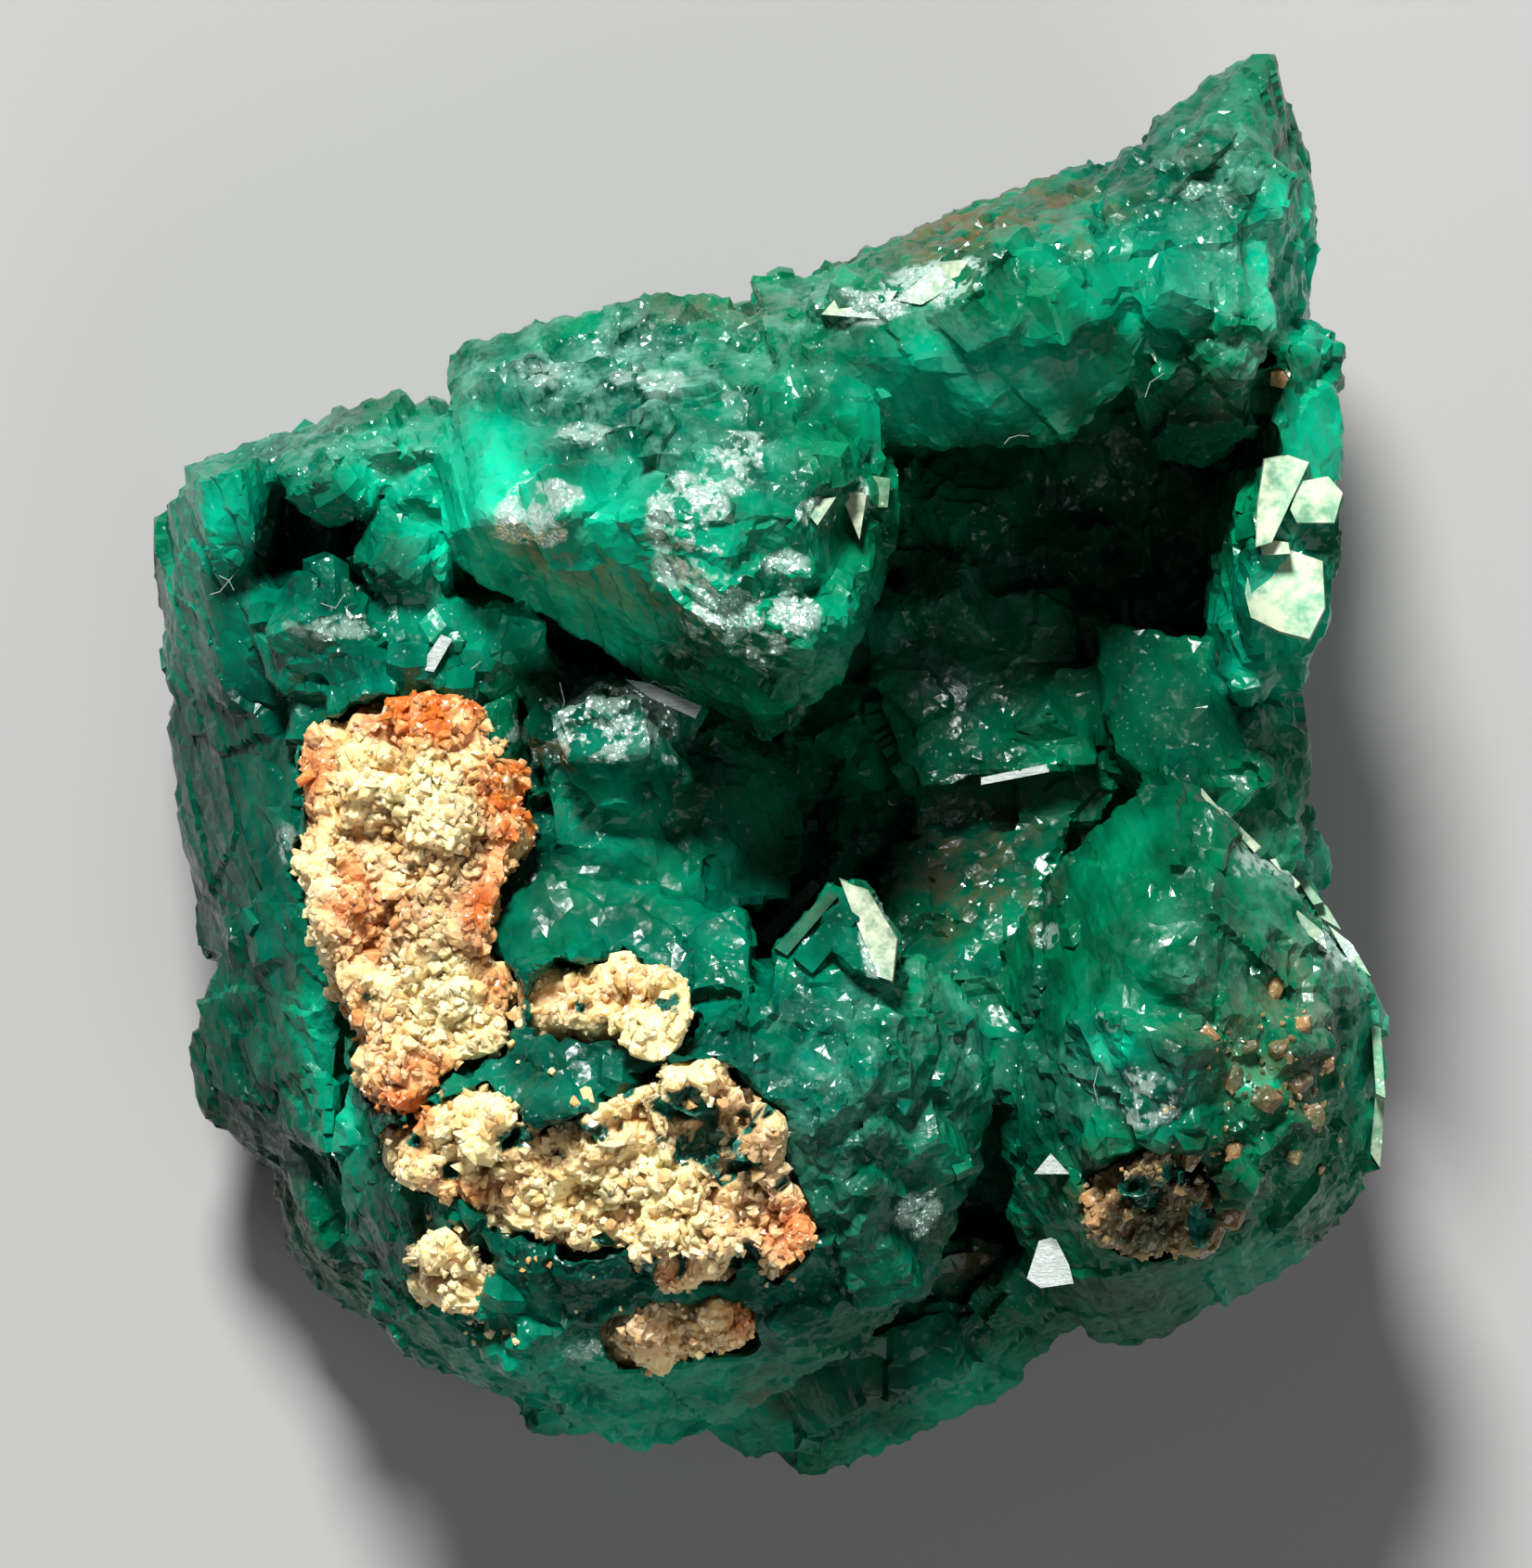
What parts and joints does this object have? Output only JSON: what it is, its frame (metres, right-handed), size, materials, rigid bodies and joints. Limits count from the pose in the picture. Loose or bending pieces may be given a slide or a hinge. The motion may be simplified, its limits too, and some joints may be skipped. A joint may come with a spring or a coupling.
{
  "type": "dioptase mineral specimen",
  "caption": "Free-standing mineral specimen: deep green dioptase crystals round an open pocket, with crusts of sugary calcite, lying on its broken back.",
  "frame": {"origin": "middle of the specimen's outline, on the plane its broken back lies on", "axes": "+Y up the specimen towards its peak, +Z out of the crystal face, +X to the right seen from the front"},
  "size_m": [0.0266, 0.0308, 0.0178],
  "materials": {
    "dioptase": "vitreous crystal, translucent deep green",
    "calcite": "sugary, cream to orange"
  },
  "bodies": {
    "root": {"dioptase_cluster": "dioptase", "calcite_column": "calcite", "calcite_band": "calcite", "calcite_upper_patch": "calcite", "calcite_lower_patch": "calcite", "calcite_left_patch": "calcite", "calcite_right_patch": "calcite"}
  },
  "joints": []
}
